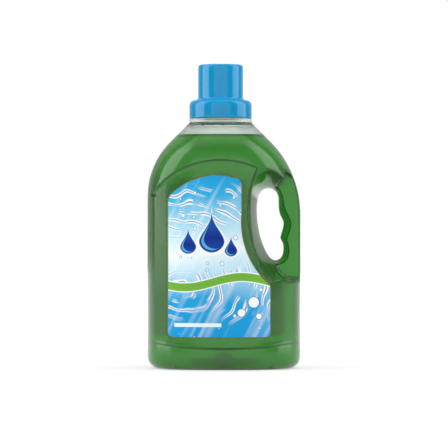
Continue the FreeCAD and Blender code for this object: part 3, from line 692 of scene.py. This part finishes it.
def printedFilm(front):
    # plastic label film, printed and satin varnished: clean flat inks in soft runs of blue
    material, tree = newMaterial("printedLabelFilm" if front else "printedBackLabelFilm")
    metres = addNode(tree, "ShaderNodeTexCoord").outputs["Object"]
    place = addNode(tree, "ShaderNodeVectorMath", {"operation": "SCALE"},
                    {0: metres, "Scale": 1 / mm}).outputs[0]
    axes = addNode(tree, "ShaderNodeSeparateXYZ", inputs={0: place})
    x, z = axes.outputs["X"], axes.outputs["Z"]

    def near(value, centre):
        return addNode(tree, "ShaderNodeMath", {"operation": "SUBTRACT"}, {0: value, 1: centre}).outputs[0]

    def soften(value, inside, outside, strength=1.0):
        return addNode(tree, "ShaderNodeMapRange", {"interpolation_type": "SMOOTHSTEP"}, {
            "Value": value, "From Min": outside, "From Max": inside, "To Max": strength}).outputs[0]

    def layer(under, over, mask):
        mix = addNode(tree, "ShaderNodeMix", {"data_type": "RGBA"}, {"Factor": mask})
        for slot, paint in ((6, under), (7, over)):
            if isinstance(paint, str):
                mix.inputs[slot].default_value = linearColour(paint)
            else:
                tree.links.new(paint, mix.inputs[slot])
        return mix.outputs[2]

    # ground: blue at the foot and the head, nearly white across the middle, bent by a slow wave
    sway = addNode(tree, "ShaderNodeTexNoise", inputs={
        "Vector": place, "Scale": 1 / ground["sway"], "Detail": 1.0})
    bent = addNode(tree, "ShaderNodeMath", {"operation": "MULTIPLY_ADD"},
                   {0: sway.outputs[0], 1: ground["swayReach"], 2: z})
    share = addNode(tree, "ShaderNodeMapRange", inputs={
        "Value": bent.outputs[0], "From Min": label["bottom"] / mm + ground["footLift"],
        "From Max": label["top"] / mm + ground["headLift"]})
    blues = addNode(tree, "ShaderNodeValToRGB", inputs={"Fac": share.outputs[0]})
    rampStops(blues, ground["inks"])
    paint = blues.outputs[0]
    # slanted light, long and soft
    slant = addNode(tree, "ShaderNodeMapping", {"vector_type": "TEXTURE"}, {
        "Vector": place, "Rotation": (0.0, ground["streakTilt"], 0.0), "Scale": ground["streak"]})
    shine = addNode(tree, "ShaderNodeTexNoise", inputs={
        "Vector": slant.outputs[0], "Scale": 1.0, "Detail": 1.5})
    paint = layer(paint, label["white"], soften(shine.outputs[0], 0.74, 0.50, ground["streakShare"]))
    # ripples on water: broken rings of navy and white, unevenly round, about a point at the left
    ringX, ringZ, spacing = label["rings"]
    aim = addNode(tree, "ShaderNodeCombineXYZ", inputs={0: near(x, ringX), 1: near(z, ringZ)})
    span = addNode(tree, "ShaderNodeVectorMath", {"operation": "LENGTH"}, {0: aim.outputs[0]})
    stir = addNode(tree, "ShaderNodeTexNoise", inputs={
        "Vector": place, "Scale": 1 / ground["stir"], "Detail": 1.0})
    wobble = addNode(tree, "ShaderNodeMath", {"operation": "MULTIPLY_ADD"}, {
        0: stir.outputs[0], 1: ground["stirReach"], 2: span.outputs["Value"]})
    levels = addNode(tree, "ShaderNodeMath", {"operation": "DIVIDE"}, {0: wobble.outputs[0], 1: spacing})
    fold = addNode(tree, "ShaderNodeMath", {"operation": "PINGPONG"}, {0: levels.outputs[0], 1: 0.5})
    gaps = addNode(tree, "ShaderNodeTexNoise", inputs={
        "Vector": place, "Scale": 1 / ground["gaps"], "Detail": 1.0})
    calmLow, calmHigh = ground["calmAt"]
    low = addNode(tree, "ShaderNodeMath", {"operation": "ABSOLUTE"}, {0: near(bent.outputs[0], calmLow)})
    high = addNode(tree, "ShaderNodeMath", {"operation": "ABSOLUTE"}, {0: near(bent.outputs[0], calmHigh)})
    both = addNode(tree, "ShaderNodeMath", {"operation": "MINIMUM"},
                   {0: low.outputs[0], 1: high.outputs[0]})
    zone = addNode(tree, "ShaderNodeMath", {"operation": "MULTIPLY"}, {
        0: soften(both.outputs[0], *ground["calmReach"]), 1: soften(gaps.outputs[0], 0.55, 0.42)}).outputs[0]
    for inside, outside, ink, strength in ground["ripples"]:
        line = addNode(tree, "ShaderNodeMath", {"operation": "MULTIPLY"}, {
            0: soften(fold.outputs[0], inside, outside, strength), 1: zone})
        paint = layer(paint, ink, line.outputs[0])
    # bubbles of mixed size, each with a dark rim and a light middle
    cells = addNode(tree, "ShaderNodeTexVoronoi", {"voronoi_dimensions": "2D"},
                    {"Scale": 1 / ground["bubbleCell"], "Randomness": 0.9})
    flat = addNode(tree, "ShaderNodeCombineXYZ", inputs={"X": x, "Y": z})
    tree.links.new(flat.outputs[0], cells.inputs["Vector"])
    chance = addNode(tree, "ShaderNodeSeparateColor", inputs={0: cells.outputs["Color"]})
    radius = addNode(tree, "ShaderNodeMapRange", inputs={
        "Value": chance.outputs[0], "From Min": 0.5, "From Max": 1.0,
        "To Min": 0.0, "To Max": ground["largestBubble"]})
    rim = addNode(tree, "ShaderNodeMath", {"operation": "SUBTRACT"},
                  {0: cells.outputs["Distance"], 1: radius.outputs[0]})
    paint = layer(paint, ground["bubbleRim"], soften(rim.outputs[0], 0.0, 0.018, 0.85))
    paint = layer(paint, ground["bubble"], soften(rim.outputs[0], -0.035, -0.015))
    if front:
        # three drops: a round foot that narrows to a tip, in navy with a pale halo
        for dropX, dropZ, size in label["drops"]:
            up = addNode(tree, "ShaderNodeMath", {"operation": "DIVIDE"}, {0: near(z, dropZ), 1: size})
            tip = addNode(tree, "ShaderNodeMapRange", {"interpolation_type": "SMOOTHSTEP"}, {
                "Value": up.outputs[0], "From Min": -0.4, "From Max": 2.0, "To Min": 1.0, "To Max": 0.06})
            across = addNode(tree, "ShaderNodeMath", {"operation": "DIVIDE"},
                             {0: near(x, dropX), 1: tip.outputs[0]})
            tall = addNode(tree, "ShaderNodeMath", {"operation": "MULTIPLY"}, {0: up.outputs[0], 1: 0.49})
            lift = addNode(tree, "ShaderNodeMath", {"operation": "MINIMUM"},
                           {0: tall.outputs[0], 1: up.outputs[0]})
            side = addNode(tree, "ShaderNodeMath", {"operation": "DIVIDE"}, {0: across.outputs[0], 1: size})
            spot = addNode(tree, "ShaderNodeCombineXYZ", inputs={0: side.outputs[0], 1: lift.outputs[0]})
            far = addNode(tree, "ShaderNodeVectorMath", {"operation": "LENGTH"},
                          {0: spot.outputs[0]}).outputs["Value"]
            edge = 0.5 / size
            paint = layer(paint, label["white"], soften(far, 1.02, 1.35, 0.9))
            dropInk = addNode(tree, "ShaderNodeValToRGB", inputs={"Fac": soften(up.outputs[0], -1.0, 1.6)})
            rampStops(dropInk, [(0.0, "#0B4FA8"), (0.6, "#012A8A"), (1.0, "#0A3F9C")])
            paint = layer(paint, dropInk.outputs[0], soften(far, 1.0 - edge, 1.0 + edge))
            # a lighter crescent low on the left of each drop
            shift = addNode(tree, "ShaderNodeVectorMath", {"operation": "SUBTRACT"},
                            {0: spot.outputs[0], 1: (0.24, 0.18, 0.0)})
            away = addNode(tree, "ShaderNodeVectorMath", {"operation": "LENGTH"}, {0: shift.outputs[0]})
            crescent = addNode(tree, "ShaderNodeMath", {"operation": "MULTIPLY"}, {
                0: soften(far, 0.80, 0.86), 1: soften(away.outputs["Value"], 0.95, 0.86, 0.8)})
            paint = layer(paint, "#5FC2EE", crescent.outputs[0])
    # a green wave right across
    ribbon, soft = label["ribbon"], label["softEdge"]
    phase = addNode(tree, "ShaderNodeMath", {"operation": "MULTIPLY_ADD"}, {0: x, 1: 1 / 21, 2: 0.6})
    swing = addNode(tree, "ShaderNodeMath", {"operation": "SINE"}, {0: phase.outputs[0]})
    crest = addNode(tree, "ShaderNodeMath", {"operation": "MULTIPLY_ADD"},
                    {0: swing.outputs[0], 1: ribbon["swing"], 2: ribbon["height"]})
    off = addNode(tree, "ShaderNodeMath", {"operation": "ABSOLUTE"},
                  {0: near(z, crest.outputs[0])}).outputs[0]
    paint = layer(paint, label["white"], soften(off, ribbon["half"] + 0.9, ribbon["half"] + 1.3))
    paint = layer(paint, "#72B43A", soften(off, ribbon["half"] - soft, ribbon["half"] + soft))
    # plain white discs and a bar
    for discX, discZ, size in label["discs"]:
        spot = addNode(tree, "ShaderNodeCombineXYZ", inputs={0: near(x, discX), 1: near(z, discZ)})
        far = addNode(tree, "ShaderNodeVectorMath", {"operation": "LENGTH"},
                      {0: spot.outputs[0]}).outputs["Value"]
        paint = layer(paint, "#2A6CB4", soften(far, size + 0.5, size + 0.9))
        paint = layer(paint, "#F7FBFD", soften(far, size - soft, size + soft))
    barX, barZ, halfLong, halfHigh = label["bar"]
    reach = addNode(tree, "ShaderNodeMath", {"operation": "ABSOLUTE"}, {0: near(x, barX)})
    rise = addNode(tree, "ShaderNodeMath", {"operation": "ABSOLUTE"}, {0: near(z, barZ)})
    bar = addNode(tree, "ShaderNodeMath", {"operation": "MULTIPLY"}, {
        0: soften(reach.outputs[0], halfLong - soft, halfLong + soft),
        1: soften(rise.outputs[0], halfHigh - soft, halfHigh + soft)})
    paint = layer(paint, "#EAF7FC", bar.outputs[0])
    fine = addNode(tree, "ShaderNodeTexNoise", inputs={
        "Vector": metres, "Scale": 1 / (1.5 * mm), "Detail": 2.0})
    bump = addNode(tree, "ShaderNodeBump", inputs={
        "Height": fine.outputs[0], "Strength": 0.05, "Distance": 0.05 * mm})
    shader = addNode(tree, "ShaderNodeBsdfPrincipled", inputs={
        "Base Color": paint, "Roughness": 0.5, "IOR": 1.45, "Specular IOR Level": 0.2,
        "Normal": bump.outputs[0]})
    addNode(tree, "ShaderNodeOutputMaterial", inputs={"Surface": shader.outputs[0]})
    return material


def clearFilm():
    # unprinted edge of the film: clear, a little olive over the green behind it
    material, tree = newMaterial("clearLabelFilm")
    place = addNode(tree, "ShaderNodeTexCoord").outputs["Object"]
    glue = addNode(tree, "ShaderNodeTexNoise", inputs={
        "Vector": place, "Scale": 1 / (6 * mm), "Detail": 2.0})
    tint = addNode(tree, "ShaderNodeValToRGB", inputs={"Fac": glue.outputs[0]})
    rampStops(tint, [(0.3, "#66762A"), (0.7, "#748034")])
    shader = addNode(tree, "ShaderNodeBsdfPrincipled", inputs={
        "Base Color": tint.outputs[0], "Roughness": 0.35, "IOR": 1.45, "Transmission Weight": 0.3})
    addNode(tree, "ShaderNodeOutputMaterial", inputs={"Surface": shader.outputs[0]})
    return material


def filmBack():
    # underside of the print, seen through the bottle: matt, a pale grey-green
    material, tree = newMaterial("labelUnderside")
    place = addNode(tree, "ShaderNodeTexCoord").outputs["Object"]
    glue = addNode(tree, "ShaderNodeTexNoise", inputs={
        "Vector": place, "Scale": 1 / (25 * mm), "Detail": 3.0})
    tint = addNode(tree, "ShaderNodeValToRGB", inputs={"Fac": glue.outputs[0]})
    rampStops(tint, [(0.25, "#9CB8A4"), (0.75, "#AFC6B4")])
    shader = addNode(tree, "ShaderNodeBsdfPrincipled", inputs={
        "Base Color": tint.outputs[0], "Roughness": 0.6, "IOR": 1.45})
    addNode(tree, "ShaderNodeOutputMaterial", inputs={"Surface": shader.outputs[0]})
    return material


def makeLabel(node, front, materials):
    outward = -1.0 if front else 1.0
    work = bmesh.new()
    work.from_mesh(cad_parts[node].data)
    bmesh.ops.remove_doubles(work, verts=work.verts, dist=weld)
    bmesh.ops.dissolve_limit(work, angle_limit=math.radians(0.5), verts=work.verts, edges=work.edges)
    shown = [f for f in work.faces if f.normal.y * outward > 0.4]
    for face in work.faces:
        face.material_index = 2 if face.normal.y * outward < -0.4 else 1
    bmesh.ops.inset_region(work, faces=shown, thickness=label["margin"], use_even_offset=True)
    for face in shown:
        face.material_index = 0
    bmesh.ops.triangulate(work, faces=[f for f in work.faces if len(f.verts) > 4])
    mesh = bpy.data.meshes.new(node + "_print")
    work.to_mesh(mesh)
    work.free()
    sides = [polygon.material_index for polygon in mesh.polygons]
    sheet = addObject(node + "_print", mesh, materials[0])
    for material in materials[1:]:
        mesh.materials.append(material)
    for polygon, side in zip(mesh.polygons, sides):
        polygon.material_index = side
    mesh.set_sharp_from_angle(angle=math.radians(30))
    return sheet


# Spout and seal keep the frame's own shapes

def spoutPlastic():
    # natural polypropylene, unpigmented: soft and nearly white, drawn clearer than the real one so that
    # it doesn't darken the neck
    material, tree = newMaterial("naturalPolypropylene")
    place = addNode(tree, "ShaderNodeTexCoord").outputs["Object"]
    cloud = addNode(tree, "ShaderNodeTexNoise", inputs={
        "Vector": place, "Scale": 1 / (12 * mm), "Detail": 3.0})
    tint = addNode(tree, "ShaderNodeValToRGB", inputs={"Fac": cloud.outputs[0]})
    rampStops(tint, [(0.3, "#DDE5DF"), (0.7, "#E8EFEA")])
    skin = addNode(tree, "ShaderNodeTexNoise", inputs={
        "Vector": place, "Scale": 1 / (0.8 * mm), "Detail": 2.0})
    bump = addNode(tree, "ShaderNodeBump", inputs={
        "Height": skin.outputs[0], "Strength": 0.08, "Distance": 0.06 * mm})
    shader = addNode(tree, "ShaderNodeBsdfPrincipled", inputs={
        "Base Color": tint.outputs[0], "Roughness": 0.3, "IOR": 1.49, "Transmission Weight": 0.85,
        "Normal": bump.outputs[0]})
    addNode(tree, "ShaderNodeOutputMaterial", inputs={"Surface": shader.outputs[0]})
    return material


def sealFoam():
    # closed-cell polyethylene foam: matt, with cells about half a millimetre wide
    material, tree = newMaterial("polyethyleneFoam")
    place = addNode(tree, "ShaderNodeTexCoord").outputs["Object"]
    cells = addNode(tree, "ShaderNodeTexVoronoi", inputs={"Vector": place, "Scale": 1 / (0.5 * mm)})
    # each cell is painted darker towards its middle, where the bump dips: painted shade in the cells'
    # hollows
    tint = addNode(tree, "ShaderNodeValToRGB", inputs={"Fac": cells.outputs["Distance"]})
    rampStops(tint, [(0.1, "#C9CAC4"), (0.6, "#E4E4DF")])
    bump = addNode(tree, "ShaderNodeBump", inputs={
        "Height": cells.outputs["Distance"], "Strength": 0.3, "Distance": 0.15 * mm})
    shader = addNode(tree, "ShaderNodeBsdfPrincipled", inputs={
        "Base Color": tint.outputs[0], "Roughness": 0.85, "IOR": 1.45, "Normal": bump.outputs[0]})
    addNode(tree, "ShaderNodeOutputMaterial", inputs={"Surface": shader.outputs[0]})
    return material


def finishNode(node, material):
    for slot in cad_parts[node].material_slots:
        slot.material = material


print("stage: camera and studio")
makeCamera()
makeWorld()
makeFloor()

print("stage: bottle and liquid")
clear = clearPlastic()
ridges = ridgeTree()
dense = denseSkin()
bottleShell = makeBottle(clear, dense)
neckThread = makeRidge(ridges, "neck_thread", neck["radius"] - thread["bury"],
                       thread["neckDepth"] + thread["bury"], thread["neckStart"], clear)
for piece in (bottleShell, neckThread):
    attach(piece, "bottle_body")
    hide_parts("bottle")

detergent = makeLiquid(greenDetergent(), dense)
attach(detergent, "bottle_body")
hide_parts("liquid_detergent")

print("stage: cap")
bluePlastic = capPlastic()
capMoulding = makeCap(bluePlastic)
capRoot = cap["skirtRadius"] - cap["skirtWall"]
capReach = neck["radius"] + thread["capGap"]
capThread = makeRidge(ridges, "cap_thread", capRoot + thread["bury"], capReach - capRoot - thread["bury"],
                      thread["neckStart"] - thread["pitch"] / 2, bluePlastic)
for piece in (capMoulding, capThread):
    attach(piece, "cap_body")
    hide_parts("dosing_cap")

print("stage: labels, spout and seal")
margin, underside = clearFilm(), filmBack()
labels = []
for node, front in (("front_label", True), ("back_label", False)):
    sheet = makeLabel(node, front, [printedFilm(front), margin, underside])
    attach(sheet, "bottle_body")
    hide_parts(node)
    labels.append(sheet)
finishNode("pour_spout", spoutPlastic())
finishNode("cap_seal", sealFoam())

print("triangles", {o.name: sum(len(p.vertices) - 2 for p in o.data.polygons)
                    for o in [bottleShell, neckThread, detergent, capMoulding, capThread] + labels})
